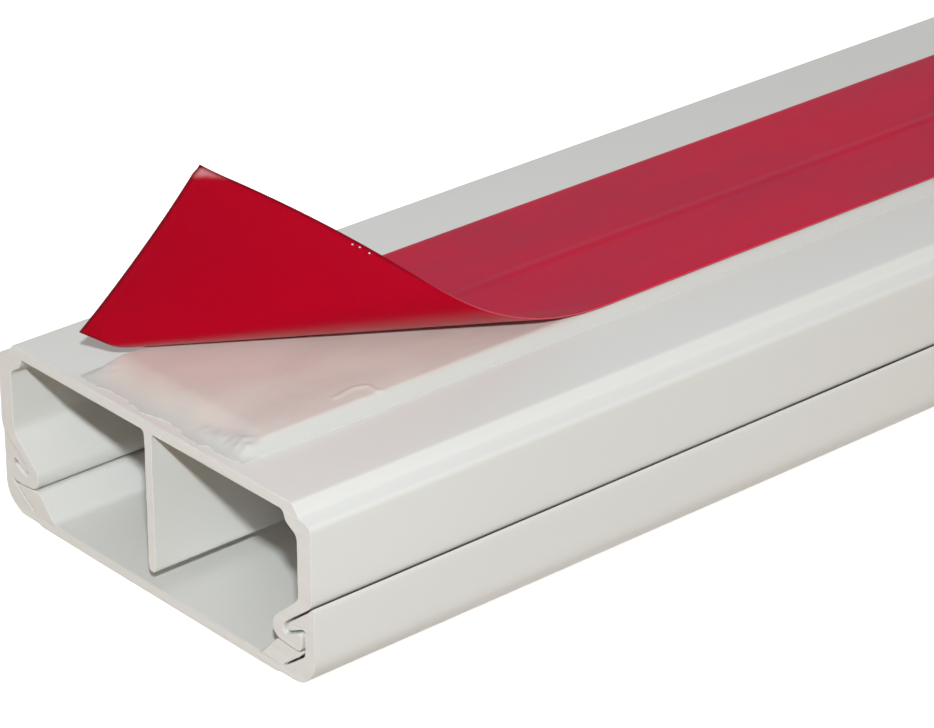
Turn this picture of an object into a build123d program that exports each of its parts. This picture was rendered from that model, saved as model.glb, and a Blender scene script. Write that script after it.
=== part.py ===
"""Two-channel cord cover raceway, lying face down on its clip-on cover, tape side up.

Frame: X across the raceway, Y along its length, Z up.
Z = 0 is the visible face of the cover, and the near end is at Y = -length / 2.
"""
from build123d import *
import math
import os

# Overall sizes, mm and degrees
length = 400.0
width = 40.0
height = 15.8

# Base extrusion
back_wall = 0.95
side_wall = 1.65
back_inset = 2.1
riser_lean = 0.6
riser_drop = 0.95
shoulder_fall = 0.45
edge_radius = 0.45
corner_inset = 1.5
corner_step = 0.8
corner_drop = 0.85
divider_wall = 0.9
divider_clearance = 1.35

# Clip joint between the base and the cover
seam_height = 7.65
seam_gap = 0.22
fit_clearance = 0.2
jog_in = 3.5
jog_drop = 2.7
foot_wall = 1.3
foot_radius = 1.0
lip_gap = 0.35
lip_height = 0.75
lip_slope = 0.5

# Cover extrusion
cover_floor = 0.95
cover_wall = 1.15
cover_radius = 2.6
panel_margin = 4.6
panel_relief = 0.2
rail_inset = 6.5
rail_lean = 2.0
rail_height = 3.1
rail_fall = 0.15
rail_tip_gap = 0.45
rail_tip_wall = 0.2
slot_web = 0.55
slot_width = 0.2
slot_depth = 2.8
slot_slope = 0.75

# Adhesive tape and its release liner
tape_width = 20.4
tape_offset = 0.4
tape_side_slope = 0.5
tape_thickness = 1.05
tape_setback = 0.4
liner_margin = 0.6
liner_thickness = 0.12
liner_start_left = 0.55
liner_start_right = -1.0
peel_left = 10.6
peel_right = 38.6
peel_radius = 6.5
peel_angle = 79.8

# Levels and half widths worked out from the sizes above
half_width = width / 2
ceiling = height - back_wall
inner_half = half_width - side_wall
jog_slope = jog_drop / jog_in
neck_half = half_width - jog_in
neck_level = seam_height - jog_drop
foot_inner = neck_half - foot_wall
foot_level = rail_height + fit_clearance
lip_half = neck_half + lip_gap
lip_top = seam_height - seam_gap - (half_width - lip_half) * jog_slope
cover_inner = half_width - cover_wall
barb_half = cover_inner - fit_clearance
tape_top = height + tape_thickness
near_end = -length / 2
liner_left = tape_offset - tape_width / 2 + liner_margin
liner_right = tape_offset + tape_width / 2 - liner_margin
liner_end = length / 2 - tape_setback
liner_level = tape_top + liner_thickness / 2


def lip_underside(x):
    """Height of the underside of the cover's lip at a distance x from the middle."""
    return lip_top - lip_height + (x - lip_half) * lip_slope


def symmetric_section(right_half):
    """Closed section from the right half of its outline, mirrored to the left."""
    left_half = [(-x, z) for x, z in reversed(right_half)]
    return make_face(Polyline(*right_half, *left_half, close=True))


def round_corners(section, corner, radius):
    """Round a corner of a section and its mirror image."""
    x, z = corner
    places = (Vector(x, z), Vector(-x, z))
    picked = [v for v in section.vertices() if min((v.center() - p).length for p in places) < 1e-4]
    return fillet(picked, radius)


def extrude_along(section, distance):
    """Extrude a section half its distance each way along Y."""
    return extrude(Plane.XZ * section, amount=distance / 2, both=True)


def make_base():
    """Raised back, shoulders, side walls, jogs with barbed feet, and divider, in one extrusion."""
    back_half = half_width - back_inset
    back_corner = (back_half, height)
    riser_foot = (back_half + riser_lean, height - riser_drop)
    shoulder_corner = (half_width, height - riser_drop - shoulder_fall)
    foot_corner = (foot_inner, foot_level)
    ceiling_half = inner_half - corner_inset
    right_half = [
        back_corner,
        riser_foot,
        shoulder_corner,
        (half_width, seam_height),
        (neck_half, neck_level),
        (neck_half, lip_underside(neck_half) - fit_clearance),
        (barb_half, lip_underside(barb_half) - fit_clearance),
        (barb_half, foot_level - rail_fall),
        foot_corner,
        (foot_inner, neck_level),
        (inner_half, seam_height),
        (inner_half, ceiling - corner_step - corner_drop),
        (ceiling_half, ceiling - corner_step),
        (ceiling_half, ceiling),
        (divider_wall / 2, ceiling),
        (divider_wall / 2, cover_floor + divider_clearance),
    ]
    section = symmetric_section(right_half)
    for corner in (back_corner, riser_foot, shoulder_corner):
        section = round_corners(section, corner, edge_radius)
    section = round_corners(section, foot_corner, foot_radius)
    return extrude_along(section, length)


def make_cover():
    """Floor panel, rounded corners, flanges with inward lips, and inner rails, in one extrusion."""
    panel_half = half_width - panel_margin
    outer_corner = (half_width, panel_relief)
    slot_inner = cover_inner - slot_depth
    slot_level = panel_relief + slot_web
    rail_foot = half_width - rail_inset
    rail_tip = cover_inner - rail_tip_gap
    rail_tip_top = rail_height - rail_fall
    right_half = [
        (panel_half, 0),
        (panel_half + panel_relief, panel_relief),
        outer_corner,
        (half_width, seam_height - seam_gap),
        (lip_half, lip_top),
        (lip_half, lip_underside(lip_half)),
        (cover_inner, lip_underside(cover_inner)),
        (cover_inner, slot_level + slot_depth * slot_slope),
        (slot_inner, slot_level),
        (slot_inner, slot_level + slot_width),
        (rail_tip, rail_tip_top - rail_tip_wall),
        (rail_tip, rail_tip_top),
        (rail_foot + rail_lean, rail_height),
        (rail_foot, cover_floor),
    ]
    section = symmetric_section(right_half)
    section = round_corners(section, outer_corner, cover_radius)
    return extrude_along(section, length)


def make_tape():
    """Thick mounting tape along the back, a little off its middle, with sloping sides."""
    bottom_half = tape_width / 2
    right_half = [(bottom_half, height), (bottom_half - tape_side_slope, tape_top)]
    return Pos(X=tape_offset) * extrude_along(symmetric_section(right_half), length - 2 * tape_setback)


class Peel:
    """The peeled end of the liner: a roll about a slanting fold line, then a flat flap.

    A place on the film is given by its distances along the fold line, from the left edge,
    and across it, towards the near end, both as measured on the flat film.
    """

    def __init__(self):
        self.fold_start = Vector(liner_left, near_end + peel_left, liner_level)
        fold_end = Vector(liner_right, near_end + peel_right, liner_level)
        self.fold_length = (fold_end - self.fold_start).length
        self.along = (fold_end - self.fold_start).normalized()
        self.up = Vector(0, 0, 1)
        self.across = self.along.cross(self.up)
        self.radius = peel_radius + liner_thickness / 2
        self.angle = math.radians(peel_angle)
        self.roll_length = self.radius * self.angle
        self.left_corner = self.flat_place(Vector(liner_left, near_end + liner_start_left, liner_level))
        self.right_corner = self.flat_place(Vector(liner_right, near_end + liner_start_right, liner_level))

    def flat_place(self, point):
        """Distances along and across the fold line of a point of the flat film."""
        offset = point - self.fold_start
        return offset.dot(self.along), offset.dot(self.across)

    def crossing(self, first, last, across):
        """Place where the film's edge between two places is at a distance across the fold line."""
        share = (across - first[1]) / (last[1] - first[1])
        return first[0] + share * (last[0] - first[0]), across

    def out_of_film(self, angle):
        """Direction out of the film's lower face where it is bent by an angle."""
        return self.across * math.sin(angle) - self.up * math.cos(angle)

    def point(self, place):
        """Point of the bent film's middle surface at a place within the roll or on the flap."""
        angle = min(place[1] / self.radius, self.angle)
        rise = self.across * math.cos(self.angle) + self.up * math.sin(self.angle)
        axis = self.fold_start + self.up * self.radius + self.along * place[0]
        return axis + self.out_of_film(angle) * self.radius + rise * max(place[1] - self.roll_length, 0)

    def trim(self, roll, first, last, inside):
        """Cut the roll along the film's edge between two places, keeping the side of another place."""
        middle_angle = (first[1] + last[1]) / 2 / self.radius
        chord = self.point(last) - self.point(first)
        cut = Plane(self.point(first), z_dir=chord.cross(self.out_of_film(middle_angle)))
        above = (self.point(inside) - cut.origin).dot(cut.z_dir) > 0
        return split(roll, bisect_by=cut, keep=Keep.TOP if above else Keep.BOTTOM)

    def sheet(self, points):
        """Flat piece of film with the given corners on its middle surface."""
        return extrude(make_face(Polyline(*points, close=True)), amount=liner_thickness / 2, both=True)

    def make_roll(self):
        """Film turned about the fold line's axis and trimmed to the liner's edges."""
        fold_left = (0, 0)
        fold_right = (self.fold_length, 0)
        flap_left = self.crossing(self.left_corner, self.right_corner, self.roll_length)
        flap_right = self.crossing(fold_right, self.right_corner, self.roll_length)
        inside = (self.fold_length / 2, self.roll_length / 2)
        film_end = Plane(self.point(fold_left), x_dir=self.along, z_dir=self.across)
        strip = film_end * Rectangle(4 * self.fold_length, liner_thickness)
        axis = Axis(self.fold_start + self.up * self.radius, self.along * -1)
        roll = revolve(strip, axis=axis, revolution_arc=peel_angle)
        roll = self.trim(roll, fold_right, flap_right, inside)
        roll = self.trim(roll, fold_left, self.left_corner, inside)
        return self.trim(roll, self.left_corner, flap_left, inside), flap_left, flap_right


def make_liner():
    """Release film: the strip still on the tape, and its peeled near end."""
    peel = Peel()
    roll, flap_left, flap_right = peel.make_roll()
    flap = peel.sheet([peel.point(place) for place in (flap_left, peel.right_corner, flap_right)])
    strip = peel.sheet([
        (liner_left, near_end + peel_left, liner_level),
        (liner_right, near_end + peel_right, liner_level),
        (liner_right, liner_end, liner_level),
        (liner_left, liner_end, liner_level),
    ])
    return strip + roll + flap


os.makedirs("parts", exist_ok=True)
pieces = {
    "base": make_base(),
    "cover": make_cover(),
    "adhesive_tape": make_tape(),
    "release_liner": make_liner(),
}
for name, piece in pieces.items():
    export_step(piece, f"parts/{name}.step")
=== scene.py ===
"""Looks of the cord cover raceway: sawn PVC extrusions, mounting tape and its half-peeled red film."""

import math

import bmesh
import bpy
from mathutils import Matrix, Vector, geometry, noise


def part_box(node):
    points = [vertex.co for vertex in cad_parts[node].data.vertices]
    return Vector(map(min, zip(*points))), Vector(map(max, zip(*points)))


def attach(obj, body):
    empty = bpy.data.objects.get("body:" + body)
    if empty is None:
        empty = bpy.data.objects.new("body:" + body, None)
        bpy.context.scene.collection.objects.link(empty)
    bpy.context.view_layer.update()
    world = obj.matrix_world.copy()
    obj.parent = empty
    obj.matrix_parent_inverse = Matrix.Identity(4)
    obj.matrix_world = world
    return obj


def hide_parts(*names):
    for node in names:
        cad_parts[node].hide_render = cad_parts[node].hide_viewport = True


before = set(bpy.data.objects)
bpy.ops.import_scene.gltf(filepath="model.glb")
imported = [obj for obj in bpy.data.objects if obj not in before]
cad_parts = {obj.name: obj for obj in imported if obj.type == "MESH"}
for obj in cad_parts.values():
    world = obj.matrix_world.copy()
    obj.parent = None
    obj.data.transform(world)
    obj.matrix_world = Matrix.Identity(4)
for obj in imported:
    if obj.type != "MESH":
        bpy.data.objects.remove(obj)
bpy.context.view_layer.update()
MM = 0.001

# Sawn extrusions, mm and degrees
OUTLINE_STEP = 0.2
BASE_ROUNDS = 8
COVER_ROUNDS = 4
FLAT_STEP = 0.5
FLAT_TURN = 2.0
PROFILE_SHARP = 35.0
RING_STEP = 12.0
WALL_WAVE = 0.03
WALL_WAVE_SIZE = 22.5
WALL_WAVE_STRETCH = 1.6
CUT_CHAMFER = 0.04
CUT_ROUGHNESS = 0.05
CUT_GRAIN = 1.4
BURR = 0.12
BURR_SIZE = 0.8
BURR_LEVEL = 0.3
COVER_SETBACK = 0.2
SEAM_REACH = 0.6
SEAM_RISE = 0.18

# Rings of points at a cut end: (distance from it and inset in mm, share of the cut's roughness)
END_RINGS = ((0, CUT_CHAMFER, 1), (CUT_CHAMFER, 0, 1), (0.16, 0, 0.3), (0.6, 0, 0))

# Mounting tape, mm and degrees; pairs are the two ends of a smooth change
TAPE_GRID = 0.2
TAPE_FINE_LENGTH = 42.0
TAPE_STEP = 4.0
TAPE_SHARP = 60.0
TAPE_SHOULDER = (-0.22, 1.1)
TAPE_FEATHER = (0.0, 4.5)
TAPE_FRONT = 0.03
TAPE_BARE = (0.0, 3.0)
TAPE_WAVE = 0.06
TAPE_WAVE_SIZE = 3.5
TAPE_WAVE_STRETCH = 2.5
TAPE_WAVE_LEVEL = 0.6
TAPE_SINK = 0.04

# Where the tape's face is tacky: by the height of its shoulder, from 0 to 1, and behind its near edge, mm
TACKY_SIDE = (0.8, 1.0)
TACKY_FRONT = (0.6, 3.375)
TACKY_SWAY_SIZE = 2.4

# Torn near edge of the tape: middle depth and waves (depth, size) in mm, and metres between their noises
TEAR_DEPTH = 0.48
TEAR_WAVES = ((0.6, 3.1), (0.36, 0.9))
TEAR_SHIFT = 0.01

# Smears of adhesive at the tape's torn end: (x, distance from the near end, reach in x and y, height), mm
SMEARS = ((8.8, 2.6, 1.7, 0.8, 0.36), (5.9, 2.1, 1.6, 0.5, 0.2), (-8.6, 2.6, 1.2, 1.4, 0.1))
SMEAR_LEVEL = 0.8
SMEAR_UNEVENNESS = 0.7
SMEAR_GRAIN = 0.7
SMEAR_COVER = (0.02, 0.1)

# Wrinkle in the bare tape: points (x, distance from the near end), mm
WRINKLE = ((8.2, 12.3), (7.8, 14.4), (8.3, 15.6), (9.4, 15.5), (9.7, 15.9))
WRINKLE_WIDTH = 0.2
WRINKLE_HEIGHT = 0.1

# Release film and its peeled end, mm and degrees; pairs are for its left and right edges
FILM_MARGIN = 0.6
FILM_THICKNESS = 0.12
FILM_COLUMNS = 64
FILM_FINE_STEP = 0.35
FILM_FINE_LENGTH = 46.0
FILM_STEP = 1.6
FILM_START = (0.75, 0.3)
PEEL = (6.9, 40.0)
ROLL_RADIUS = (2.1, 8.7)
ROLL_SMALLEST = 0.8
LEAN = (73.3, 105.0)

# Slightly cut near right corner of the film, and its curled tip with a painted pale sheen, mm; the width is a
# share of the film's
CORNER_WIDTH = 0.05
CORNER_CUT = 0.25
TIP_SIZE = (1.3, 3.2)
TIP_CURL = 0.4
TIP_SHEEN_FADE = (0.0, 0.45)
TIP_SHEEN_UNEVENNESS = 0.6
TIP_SHEEN_GRAIN = 0.6

# Waves of the flap, and how far past the fold line they begin, mm
FLAP_WAVE = 0.12
FLAP_WAVE_SIZE = 9.0
FLAP_WAVE_START = (4.0, 16.0)

# Crease and swell of the film on the tape, mm; the crease's place is a share of the film's width
CREASE_PLACE = 0.52
CREASE_WIDTH = 0.4
CREASE_HEIGHT = 0.09
CREASE_START = (0.0, 8.0)
CREASE_SWAY = 0.5
CREASE_SWAY_SIZE = 45.0
SWELL_SIZE = 7.0
SWELL_STRETCH = 5.0

# Distances past the fold line over which the film turns deep red, and its edges take on a painted dark shade,
# mm
DEEPENING = (-0.2, 2.5)
RIM_PAINTED_SHADE = (0.0, 4.0)
RIGHT_RIM_PAINTED_SHADE = (7.0, 12.0)

# Gloss of the film's sides, and of its underside in the roll up to a turn in degrees
UPPER_GLOSS = 0.15
UNDERSIDE_GLOSS = 0.04
ROLL_GLOSS = 0.5
ROLL_TURN = (40.0, 65.0)

# Specks of adhesive on the lifted film: (share of its width, distance from the near end in mm), sizes in mm
SPECKS = ((0.98, 14.6), (0.985, 15.2), (0.983, 16.1))
SPECK_RADIUS = 0.1
SPECK_GRAIN = 0.05
SPECK_UNEVENNESS = 0.35

# Camera of the photograph, metres; its lens and sensor, mm
CAMERA_PLACE = Vector((0.22914, -0.367827, 0.161642))
CAMERA_LOOK = Vector((-0.673005, 0.590228, -0.445752))
CAMERA_NEAREST = 0.01
CAMERA_LENS = 158.06
CAMERA_SENSOR = 36.0

# Key light, metres and watts
KEY_DIRECTION = Vector((1.38, -1.0, 1.24))
KEY_DISTANCE = 0.38
KEY_SIZE = 0.018
KEY_POWER = 1.17
KEY_COLOR = (0.955, 0.993, 1.0)

# Soft fill lights for the sides that the key leaves dark: place, aim, power in watts, spread in degrees
FILLS = {
    "left_fill": ((-0.7, 0.1, 0.12), (0, 0.1, 0.01), 0.44, 110),
    "rear_fill": ((0.1, 0.95, 0.14), (0, 0.2, 0.01), 0.44, 90),
    "far_fill": ((0, 0.45, 0.6), (0, 0.45, 0), 0.15, 70),
}
FILL_SIZE = 0.25

# Soft light from all round: dim and warm to pale along a direction
SURROUND_DIRECTION = (-0.45, 0.6, 0.35)
SURROUND_RANGE = (-0.65, 0.55)
SURROUND_DIM = (0.29, 0.222, 0.15)
SURROUND_PALE = (0.407, 0.411, 0.42)

# Floor: half its width in metres, and the glow that keeps it white
FLOOR_SIZE = 6.0
FLOOR_GLOW = 0.7

# Inputs and output of a mix node for each kind of value
MIX_SOCKETS = {"FLOAT": (0, 2, 3, 0), "VECTOR": (0, 4, 5, 1), "RGBA": (0, 6, 7, 2)}

base_low, base_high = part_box("base")
tape_low, tape_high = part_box("adhesive_tape")
near_end = base_low.y


def blend(ends, share):
    """Value between a pair of ends, or past them."""
    return ends[0] + (ends[1] - ends[0]) * share


def ramp(value, low, high):
    """Smooth step from 0 at low to 1 at high."""
    share = min(1, max(0, (value - low) / (high - low)))
    return share * share * (3 - 2 * share)


def ripple(x, y, z, size, stretch=1.0):
    """Smooth noise from -1 to 1 at a point in metres, its features a size in mm, and stretched along Y."""
    return noise.noise(Vector((x, y / stretch, z)) / (size * MM))


def new_piece(name, bm, body, slot, material, *nodes):
    """Object made from a bmesh, riding on a body and standing for CAD nodes."""
    mesh = bpy.data.meshes.new(name)
    bmesh.ops.recalc_face_normals(bm, faces=bm.faces)
    bm.to_mesh(mesh)
    bm.free()
    mesh.shade_smooth()
    mesh.materials.append(material)
    piece = bpy.data.objects.new(name, mesh)
    bpy.context.scene.collection.objects.link(piece)
    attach(piece, body)
    if nodes:
        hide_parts(*nodes)
    return piece


def add_grid(bm, grid):
    """Faces between the rows of a grid of vertices."""
    for first, last in zip(grid, grid[1:]):
        for i in range(len(first) - 1):
            bm.faces.new((first[i], first[i + 1], last[i + 1], last[i]))


def spaced(fine_length, fine_step, step, length):
    """Distances from 0 to a length, close together at first."""
    count = round(fine_length / fine_step)
    places = [fine_length * i / count for i in range(count)]
    count = math.ceil((length - fine_length) / step)
    return places + [fine_length + (length - fine_length) * i / count for i in range(count + 1)]


class NodeTree:
    """Short calls to add nodes to the node tree of a material or a world."""

    def __init__(self, owner):
        owner.use_nodes = True
        self.tree = owner.node_tree

    def feed(self, socket, value):
        """Link an output to a socket, or set the socket's value."""
        if isinstance(value, bpy.types.NodeSocket):
            self.tree.links.new(value, socket)
        elif socket.type == "RGBA":
            socket.default_value = (*value, 1)
        else:
            socket.default_value = value

    def add(self, kind, **inputs):
        """New node, with values or links for its named inputs."""
        node = self.tree.nodes.new(kind)
        for name, value in inputs.items():
            self.feed(node.inputs[name.replace("_", " ")], value)
        return node

    def ranged(self, value, low, high, to_low=0.0, to_high=1.0):
        """Value mapped from one range to another, kept within it."""
        ends = {"From_Min": low, "From_Max": high, "To_Min": to_low, "To_Max": to_high}
        return self.add("ShaderNodeMapRange", Value=value, **ends).outputs["Result"]

    def mixed(self, share, first, second, kind="RGBA"):
        """Mix of two colors, numbers or vectors."""
        node = self.add("ShaderNodeMix")
        node.data_type = kind
        *inputs, output = MIX_SOCKETS[kind]
        for place, value in zip(inputs, (share, first, second)):
            self.feed(node.inputs[place], value)
        return node.outputs[output]


class Shader(NodeTree):
    """A material with a principled shader."""

    def __init__(self, name, **inputs):
        self.material = bpy.data.materials.new(name)
        super().__init__(self.material)
        self.main = self.tree.nodes["Principled BSDF"]
        self.place = self.add("ShaderNodeTexCoord").outputs["Object"]
        self.geometry = self.add("ShaderNodeNewGeometry")
        self.set(**inputs)

    def set(self, **inputs):
        """Values or links for inputs of the principled shader."""
        for name, value in inputs.items():
            self.feed(self.main.inputs[name.replace("_", " ")], value)

    def noise(self, *per_metre, detail=3.0):
        """Noise from 0 to 1 with a number of features per metre along each axis."""
        place = self.add("ShaderNodeMapping", Vector=self.place, Scale=per_metre).outputs["Vector"]
        texture = self.add("ShaderNodeTexNoise", Vector=place, Scale=1.0, Detail=detail, Roughness=0.55)
        return texture.outputs["Fac"]

    def facing(self, axis):
        """How far the surface faces along an axis, either way, from 0 to 1."""
        parts = self.add("ShaderNodeSeparateXYZ", Vector=self.geometry.outputs["True Normal"])
        node = self.add("ShaderNodeMath")
        node.operation = "ABSOLUTE"
        self.feed(node.inputs[0], parts.outputs[axis])
        return node.outputs[0]

    def attribute(self, name):
        """Value stored on the mesh's points."""
        node = self.add("ShaderNodeAttribute")
        node.attribute_name = name
        return node.outputs["Fac"]

    def bump(self, height, depth, under=None):
        """Bump normal for a height map, depth in mm, on top of another bump."""
        node = self.add("ShaderNodeBump", Height=height, Distance=depth * MM)
        if under is not None:
            self.feed(node.inputs["Normal"], under)
        return node.outputs["Normal"]


def pvc_material():
    """Extruded white PVC: faint die lines along the length, and matt saw marks on the cut ends, painted
    whiter than the skin as painted light on these ends.
    """
    shader = Shader("white_pvc", IOR=1.53)
    sawn = shader.ranged(shader.facing("Y"), 0.75, 0.95)
    cloud = shader.ranged(shader.noise(55, 18, 55, detail=2), 0.35, 0.7)
    skin = shader.mixed(cloud, (0.766, 0.775, 0.759), (0.793, 0.802, 0.789))
    streak = shader.noise(900, 900, 5200)
    # Saw-mark tones on the cut ends, lighter than the skin: the marks are real, the extra whiteness is
    # painted light.
    cut = shader.mixed(shader.ranged(streak, 0.3, 0.7), (0.885, 0.89, 0.885), (0.93, 0.932, 0.93))
    scuff = shader.ranged(shader.noise(240, 40, 240, detail=4), 0.3, 0.75, 0.34, 0.47)
    die = shader.bump(shader.noise(1700, 5, 1700, detail=2), 0.004)
    grain = shader.bump(shader.noise(2600, 2600, 2600, detail=4), 0.006, under=die)
    marks = shader.bump(streak, 0.008)
    shader.set(
        Base_Color=shader.mixed(sawn, skin, cut),
        Roughness=shader.mixed(sawn, scuff, 0.62, "FLOAT"),
        Normal=shader.mixed(sawn, grain, marks, "VECTOR"),
    )
    return shader.material


def tape_material():
    """Mounting tape: white foam at its sides, pale glossy adhesive with a faint grain on its face."""
    shader = Shader("mounting_tape", IOR=1.48)
    tacky = shader.mixed(shader.noise(240, 140, 240), (0.66, 0.625, 0.588), (0.81, 0.79, 0.755))
    gloss = shader.ranged(shader.noise(300, 180, 300), 0.2, 0.8, 0.29, 0.46)
    shader.set(
        Base_Color=shader.mixed(shader.attribute("face"), (0.65, 0.655, 0.64), tacky),
        Roughness=shader.mixed(shader.attribute("face"), 0.7, gloss, "FLOAT"),
        Normal=shader.bump(shader.noise(900, 650, 900, detail=2), 0.006),
        Subsurface_Weight=0.15,
        Subsurface_Radius=(1.0, 0.7, 0.6),
        Subsurface_Scale=0.001,
    )
    return shader.material


def film_material(name, gloss, roll_gloss):
    """Side of the red film: deep red where it is lifted, a little paler where the white tape is under it."""
    shader = Shader(name, IOR=1.5)
    cloud = shader.ranged(shader.noise(70, 16, 70), 0.35, 0.7)
    deep = shader.mixed(cloud, (0.42, 0.0003, 0.0175), (0.39, 0.0005, 0.02))
    blotch = shader.ranged(shader.noise(130, 45, 130, detail=4), 0.3, 0.72)
    pale = shader.mixed(blotch, (0.645, 0.003, 0.042), (0.475, 0.014, 0.057))
    red = shader.mixed(shader.attribute("lifted"), pale, deep)
    # Painted pale sheen on the curled tip.
    with_tip_sheen = shader.mixed(shader.attribute("tip"), red, (0.55, 0.25, 0.28))
    shader.set(
        # Painted dark shade along the edges of the lifted film.
        Base_Color=shader.mixed(shader.attribute("rim"), with_tip_sheen, (0.16, 0.001, 0.009)),
        Roughness=shader.ranged(shader.noise(90, 14, 90), 0.3, 0.72, 0.285, 0.36),
        Specular_IOR_Level=shader.mixed(shader.attribute("rolled"), gloss, roll_gloss, "FLOAT"),
        Normal=shader.bump(shader.noise(150, 22, 150, detail=2), 0.012),
        Subsurface_Weight=0.7,
        Subsurface_Radius=(1.0, 0.02, 0.06),
        Subsurface_Scale=0.0006,
    )
    return shader.material


def film_edge_material():
    """Cut edge of the film: pale on the tape and by the fold, with a painted dark shade where the film stands
    up.
    """
    shader = Shader("red_film_edge", Specular_IOR_Level=0.1)
    tone = shader.ranged(shader.noise(600, 600, 600), 0.35, 0.7)
    # Painted dark shade on the edge where the film stands up.
    painted_edge_shade = shader.mixed(tone, (0.16, 0.004, 0.01), (0.24, 0.008, 0.016))
    shader.set(Base_Color=shader.mixed(shader.attribute("rim"), (0.6, 0.09, 0.13), painted_edge_shade), Roughness=0.5)
    return shader.material


def residue_material():
    """Loose adhesive: small clear glossy marks."""
    shader = Shader("adhesive_bits", IOR=1.48)
    tone = shader.ranged(shader.noise(700, 700, 700), 0.35, 0.7)
    shader.set(
        Base_Color=shader.mixed(tone, (0.74, 0.725, 0.70), (0.85, 0.845, 0.825)),
        Roughness=shader.ranged(shader.noise(1500, 1500, 1500), 0.3, 0.7, 0.29, 0.4),
    )
    return shader.material


def outline_loop(node):
    """Outline of an extrusion's near end face, as (x, z) points in order."""
    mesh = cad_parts[node].data
    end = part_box(node)[0].y
    place = [(round(v.co.x, 7), round(v.co.z, 7)) for v in mesh.vertices]
    edges = set()
    for face in mesh.polygons:
        if all(abs(mesh.vertices[i].co.y - end) < 1e-6 for i in face.vertices):
            corners = [place[i] for i in face.vertices]
            edges.update(zip(corners, corners[1:] + corners[:1]))
    following = {first: last for first, last in edges if (last, first) not in edges}
    loop = [min(following)]
    while following[loop[-1]] != loop[0]:
        loop.append(following[loop[-1]])
    return [Vector(point) for point in loop]


def softened(loop, rounds):
    """Outline with its corners rounded a little, and its points only as close as its turns need."""
    fine = []
    for point, after in zip(loop, loop[1:] + loop[:1]):
        pieces = max(1, math.ceil((after - point).length / (OUTLINE_STEP * MM)))
        fine += [point.lerp(after, step / pieces) for step in range(pieces)]
    for _ in range(rounds):
        fine = [(a + b * 2 + c) / 4 for a, b, c in zip(fine[-1:] + fine[:-1], fine, fine[1:] + fine[:1])]
    kept = fine[:1]
    for point, after in zip(fine[1:], fine[2:] + fine[:1]):
        along = point - kept[-1]
        if along.length > FLAT_STEP * MM or along.angle(after - point) > math.radians(FLAT_TURN):
            kept.append(point)
    return kept


def outward(loop):
    """Unit normals out of a closed outline."""
    area = sum(a.x * b.y - b.x * a.y for a, b in zip(loop, loop[1:] + loop[:1]))
    side = math.copysign(1, area)
    normals = []
    for before, after in zip(loop[-1:] + loop[:-1], loop[1:] + loop[:1]):
        along = after - before
        normals.append(Vector((along.y, -along.x)).normalized() * side)
    return normals


def make_extrusion(name, node, body, material, rounds, setback=0.0, seam_rise=0.0):
    """Sawn length of a profile: slightly uneven walls, rough cuts with small burrs, and a raised top edge."""
    loop = softened(outline_loop(node), rounds)
    normals = outward(loop)
    low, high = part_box(node)
    start = low.y + setback * MM
    bm = bmesh.new()

    def ring(y, inward, inset, cut):
        """Points of the outline at a place along the length, inset and roughened by a share of the cut's."""
        verts = []
        for point, normal in zip(loop, normals):
            place = (point.x, y, point.y)
            wave = WALL_WAVE * min(0, ripple(*place, WALL_WAVE_SIZE, WALL_WAVE_STRETCH)) * (1 - cut)
            burr = BURR * max(0, ripple(*place, BURR_SIZE) - BURR_LEVEL) * cut
            bite = CUT_ROUGHNESS * (1 + ripple(*place, CUT_GRAIN)) * cut
            rise = seam_rise * ramp(point.y, high.z - SEAM_REACH * MM, high.z)
            moved = point + normal * (burr + wave - inset) * MM
            verts.append(bm.verts.new((moved.x, y + bite * inward * MM, max(low.z, moved.y) + rise * MM)))
        return verts

    middle = max(1, round((high.y - start) / (RING_STEP * MM)))
    rings = [ring(start + y * MM, 1, inset, cut) for y, inset, cut in END_RINGS]
    rings += [ring(start + (high.y - start) * i / middle, 1, 0, 0) for i in range(1, middle)]
    rings += [ring(high.y - y * MM, -1, inset, cut) for y, inset, cut in reversed(END_RINGS)]
    add_grid(bm, [line + line[:1] for line in rings])
    for i, j, k in geometry.tessellate_polygon([[(p.x, p.y, 0) for p in loop]]):
        for cap in (rings[0], rings[-1]):
            bm.faces.new((cap[i], cap[j], cap[k]))
    piece = new_piece(name, bm, body, "white_pvc", material, node)
    piece.data.set_sharp_from_angle(angle=math.radians(PROFILE_SHARP))
    piece.modifiers.new("flat_sides", "WEIGHTED_NORMAL").keep_sharp = True
    return piece


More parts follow.
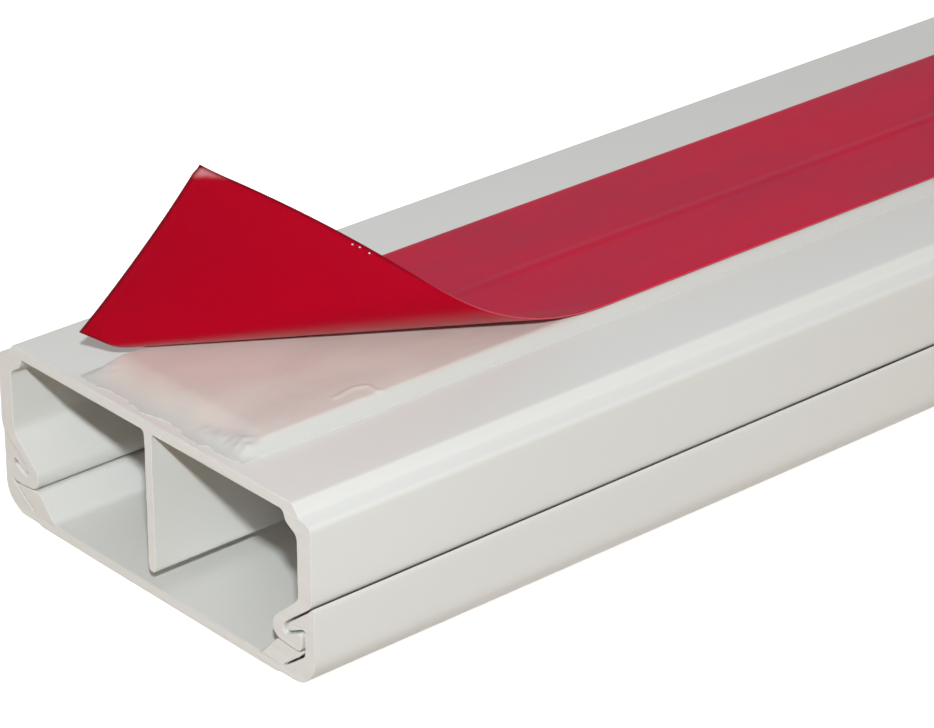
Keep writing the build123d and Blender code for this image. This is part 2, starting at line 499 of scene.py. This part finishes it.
class Film:
    """The release film: flat on the tape, then rolled up off it across a slanting fold line."""

    def __init__(self):
        self.left = tape_low.x + FILM_MARGIN * MM
        self.right = tape_high.x - FILM_MARGIN * MM
        self.width = self.right - self.left
        self.end = tape_high.y
        self.level = tape_high.z + FILM_THICKNESS * MM / 2
        self.up = Vector((0, 0, 1))
        self.fold_start = self.flat(0, PEEL[0])
        fold = self.flat(1, PEEL[1]) - self.fold_start
        self.fold_length = fold.length
        self.along = fold.normalized()
        self.across = self.along.cross(self.up)

    def flat(self, share, distance):
        """Place on the flat film, at a share of its width and a distance in mm from the near end."""
        return Vector((self.left + self.width * share, near_end + distance * MM, self.level))

    def lifted(self, flat):
        """How far a place on the flat film is past the fold line, towards the near end."""
        return (flat - self.fold_start).dot(self.across)

    def bend(self, flat):
        """Radius of the roll, lean of the flap, and how far the film is turned at a place, in radians."""
        share = (flat - self.fold_start).dot(self.along) / self.fold_length
        radius = max(ROLL_SMALLEST, blend(ROLL_RADIUS, share)) * MM
        lean = math.radians(blend(LEAN, share))
        return radius, lean, min(self.lifted(flat) / radius, lean)

    def point(self, flat):
        """Where a place on the flat film is once the near end is peeled."""
        past = self.lifted(flat)
        if past <= 0:
            return flat.copy()
        place = (flat - self.fold_start).dot(self.along)
        radius, lean, turned = self.bend(flat)
        centre = self.fold_start + self.along * place + self.up * radius
        out = self.across * math.sin(turned) - self.up * math.cos(turned)
        rise = self.across * math.cos(lean) + self.up * math.sin(lean)
        wave = FLAP_WAVE * MM * ramp(past / MM, *FLAP_WAVE_START) * ripple(flat.x, flat.y, 0, FLAP_WAVE_SIZE)
        curl = TIP_CURL * MM * self.tip(flat) ** 2
        return centre + out * (radius + wave - curl) + rise * max(past - radius * lean, 0)

    def tip(self, flat):
        """How far into the curled tip, which has a painted pale sheen, a place on the flat film is, from 0 to
        1 at the near right corner.
        """
        from_right = (self.right - flat.x) / MM
        from_end = (flat.y - near_end) / MM - FILM_START[1]
        return max(0, 1 - from_right / TIP_SIZE[0] - from_end / TIP_SIZE[1])


def make_film(film):
    """Release film as one sheet, fine where it is peeled, with a faint crease along the rest."""
    total = (film.end - near_end) / MM
    length = total - FILM_START[0]
    rows = spaced(FILM_FINE_LENGTH, FILM_FINE_STEP, FILM_STEP, length)
    bm = bmesh.new()
    lifted = bm.verts.layers.float.new("lifted")
    rim = bm.verts.layers.float.new("rim")
    tip = bm.verts.layers.float.new("tip")
    rolled = bm.verts.layers.float.new("rolled")
    grid = []
    for row in rows:
        line = []
        for column in range(FILM_COLUMNS + 1):
            share = column / FILM_COLUMNS
            start = blend(FILM_START, share) + CORNER_CUT * ramp(share, 1 - CORNER_WIDTH, 1)
            flat = film.flat(share, blend((start, total), row / length))
            past = film.lifted(flat) / MM
            point = film.point(flat)
            sway = CREASE_SWAY * MM * ripple(0, flat.y, 0, CREASE_SWAY_SIZE)
            from_crease = flat.x - film.left - film.width * CREASE_PLACE - sway
            ridge = math.exp(-(from_crease / (CREASE_WIDTH * MM)) ** 2)
            swell = 0.5 + 0.5 * ripple(flat.x, flat.y, 0, SWELL_SIZE, SWELL_STRETCH)
            point.z += ramp(-past, *CREASE_START) * CREASE_HEIGHT * MM * (ridge + swell)
            vert = bm.verts.new(point)
            vert[lifted] = ramp(past, *DEEPENING)
            # Painted dark shade along the edges of the lifted film.
            painted_shade = RIGHT_RIM_PAINTED_SHADE if column == FILM_COLUMNS else RIM_PAINTED_SHADE
            vert[rim] = ramp(past, *painted_shade) * (row == 0 or column in (0, FILM_COLUMNS))
            # Painted pale sheen on the curled tip.
            uneven = 1 + TIP_SHEEN_UNEVENNESS * ripple(flat.x, flat.y, 0, TIP_SHEEN_GRAIN)
            vert[tip] = ramp(film.tip(flat) * uneven, *TIP_SHEEN_FADE)
            vert[rolled] = 1 - ramp(math.degrees(film.bend(flat)[2]), *ROLL_TURN)
            line.append(vert)
        grid.append(line)
    add_grid(bm, grid)
    upper = film_material("red_film", UPPER_GLOSS, UPPER_GLOSS)
    piece = new_piece("release_film", bm, "base", "red_film", upper, "release_liner")
    piece.data.materials.append(film_material("red_film_underside", UNDERSIDE_GLOSS, ROLL_GLOSS))
    piece.data.materials.append(film_edge_material())
    if piece.data.polygons[-1].normal.z < 0:
        piece.data.flip_normals()
    thick = piece.modifiers.new("thickness", "SOLIDIFY")
    thick.thickness = FILM_THICKNESS * MM
    thick.offset = 0
    thick.material_offset = 1
    thick.material_offset_rim = 2
    return piece


def tear_depth(x):
    """How far in mm the tape's near edge is torn back at a place across it."""
    waves = enumerate(TEAR_WAVES)
    return max(0, TEAR_DEPTH + sum(depth * ripple(x, TEAR_SHIFT * i, 0, size) for i, (depth, size) in waves))


def smear_height(x, y):
    """Height in mm of the smeared adhesive at a place on the tape."""
    uneven = SMEAR_LEVEL + SMEAR_UNEVENNESS * ripple(x, y, 0, SMEAR_GRAIN)
    height = 0
    for middle, distance, reach_x, reach_y, top in SMEARS:
        across = (x / MM - middle) / reach_x
        along = ((y - near_end) / MM - distance) / reach_y
        height += top * math.exp(-across ** 2 - along ** 2) * uneven
    return height


def wrinkle_height(x, y):
    """Height in mm of the wrinkle at a place on the tape."""
    place = Vector((x / MM, (y - near_end) / MM))
    nearest = math.inf
    for first, last in zip(WRINKLE, WRINKLE[1:]):
        first, last = Vector(first), Vector(last)
        _, share = geometry.intersect_point_line(place, first, last)
        foot = first.lerp(last, min(1, max(0, share)))
        nearest = min(nearest, (place - foot).length)
    return WRINKLE_HEIGHT * math.exp(-(nearest / WRINKLE_WIDTH) ** 2)


def make_tape(film, material):
    """Mounting tape: soft shoulders, a torn and squashed near edge, and a wavy face where the film is off."""
    width = tape_high.x - tape_low.x
    length = (tape_high.y - tape_low.y) / MM
    height = tape_high.z - tape_low.z
    columns = round(width / (TAPE_GRID * MM))
    rows = spaced(TAPE_FINE_LENGTH, TAPE_GRID, TAPE_STEP, length)
    bm = bmesh.new()
    face = bm.verts.layers.float.new("face")
    grid = []
    for row in rows:
        line = []
        for column in range(columns + 1):
            x = tape_low.x + width * column / columns
            y = blend((tape_low.y + tear_depth(x) * MM, tape_high.y), row / length)
            side = ramp(min(x - tape_low.x, tape_high.x - x) / MM, *TAPE_SHOULDER)
            behind = (y - tape_low.y) / MM
            front = blend((TAPE_FRONT, 1), ramp(behind, *TAPE_FEATHER))
            bare = ramp(film.lifted(Vector((x, y, film.level))) / MM, *TAPE_BARE)
            dip = ripple(x, y, 0, TAPE_WAVE_SIZE, TAPE_WAVE_STRETCH) - TAPE_WAVE_LEVEL
            wave = TAPE_WAVE * MM * bare * dip
            smear = smear_height(x, y)
            marks = (smear + wrinkle_height(x, y)) * MM * side
            vert = bm.verts.new((x, y, tape_low.z + (height + wave) * side * front + marks))
            swayed = behind + ripple(x, y, 0, TACKY_SWAY_SIZE)
            tacky = ramp(side, *TACKY_SIDE) * ramp(swayed, *TACKY_FRONT)
            vert[face] = tacky * (1 - ramp(smear, *SMEAR_COVER))
            line.append(vert)
        grid.append(line)
    add_grid(bm, grid)
    rim = grid[0] + [line[-1] for line in grid[1:]] + grid[-1][-2::-1] + [line[0] for line in grid[-2:0:-1]]
    foot = [bm.verts.new((vert.co.x, vert.co.y, tape_low.z - TAPE_SINK * MM)) for vert in rim]
    add_grid(bm, [rim + rim[:1], foot + foot[:1]])
    bm.faces.new(foot)
    piece = new_piece("mounting_tape", bm, "base", "mounting_tape", material, "adhesive_tape")
    piece.data.set_sharp_from_angle(angle=math.radians(TAPE_SHARP))
    return piece


def make_residue(film, material):
    """Specks of adhesive on the lifted film: small uneven lumps."""
    bm = bmesh.new()
    for share, distance in SPECKS:
        centre = film.point(film.flat(share, distance))
        place = Matrix.Translation(centre) @ Matrix.Scale(SPECK_RADIUS * MM, 4)
        for vert in bmesh.ops.create_icosphere(bm, subdivisions=3, radius=1, matrix=place)["verts"]:
            vert.co += (vert.co - centre) * SPECK_UNEVENNESS * ripple(*vert.co, SPECK_GRAIN)
    return new_piece("adhesive_bits", bm, "base", "mounting_tape", material)


def make_floor():
    """Plain pale floor under the raceway."""
    shader = Shader("pale_floor", Base_Color=(0.9, 0.9, 0.9), Roughness=0.8)
    shader.set(Emission_Color=(1, 1, 1), Emission_Strength=FLOOR_GLOW)
    bm = bmesh.new()
    bmesh.ops.create_grid(bm, x_segments=1, y_segments=1, size=FLOOR_SIZE)
    mesh = bpy.data.meshes.new("floor")
    bm.to_mesh(mesh)
    bm.free()
    mesh.materials.append(shader.material)
    floor = bpy.data.objects.new("floor", mesh)
    floor.visible_diffuse = False
    bpy.context.scene.collection.objects.link(floor)


def make_camera():
    """Camera at the photograph's viewpoint."""
    data = bpy.data.cameras.new("camera")
    data.sensor_width = CAMERA_SENSOR
    data.lens = CAMERA_LENS
    data.clip_start = CAMERA_NEAREST
    camera = bpy.data.objects.new("camera", data)
    camera.location = CAMERA_PLACE
    camera.rotation_euler = CAMERA_LOOK.to_track_quat("-Z", "Y").to_euler()
    bpy.context.scene.collection.objects.link(camera)
    bpy.context.scene.camera = camera


def add_light(name, place, aim, size, power):
    """Round area light at a place, facing a point."""
    data = bpy.data.lights.new(name, "AREA")
    data.shape = "DISK"
    data.size = size
    data.energy = power
    light = bpy.data.objects.new(name, data)
    light.location = place
    light.rotation_euler = (aim - place).to_track_quat("-Z", "Y").to_euler()
    light.visible_camera = False
    bpy.context.scene.collection.objects.link(light)
    return light


def make_lights():
    """Key light from the right front, and fill lights without glare for the sides that it leaves dark."""
    aim = Vector((0, near_end, base_high.z))
    place = aim + KEY_DIRECTION.normalized() * KEY_DISTANCE
    add_light("key", place, aim, KEY_SIZE, KEY_POWER).data.color = KEY_COLOR
    for name, (place, aim, power, spread) in FILLS.items():
        fill = add_light(name, Vector(place), Vector(aim), FILL_SIZE, power)
        fill.data.spread = math.radians(spread)
        fill.visible_glossy = False


def make_surround():
    """Soft pale light from all round, dim and warm on the camera's side."""
    world = bpy.data.worlds.new("surround")
    nodes = NodeTree(world)
    aim = nodes.add("ShaderNodeVectorMath")
    aim.operation = "DOT_PRODUCT"
    nodes.feed(aim.inputs[0], nodes.add("ShaderNodeTexCoord").outputs["Generated"])
    nodes.feed(aim.inputs[1], SURROUND_DIRECTION)
    share = nodes.ranged(aim.outputs["Value"], *SURROUND_RANGE)
    tone = nodes.mixed(share, SURROUND_DIM, SURROUND_PALE)
    nodes.feed(world.node_tree.nodes["Background"].inputs["Color"], tone)
    bpy.context.scene.world = world


def main():
    """Dress every piece and set the stage."""
    pvc = pvc_material()
    make_extrusion("base_profile", "base", "base", pvc, BASE_ROUNDS)
    make_extrusion("cover_profile", "cover", "cover", pvc, COVER_ROUNDS, COVER_SETBACK, SEAM_RISE)
    film = Film()
    make_tape(film, tape_material())
    make_film(film)
    make_residue(film, residue_material())
    make_floor()
    make_camera()
    make_lights()
    make_surround()
    bpy.context.scene.view_settings.view_transform = "Standard"


main()
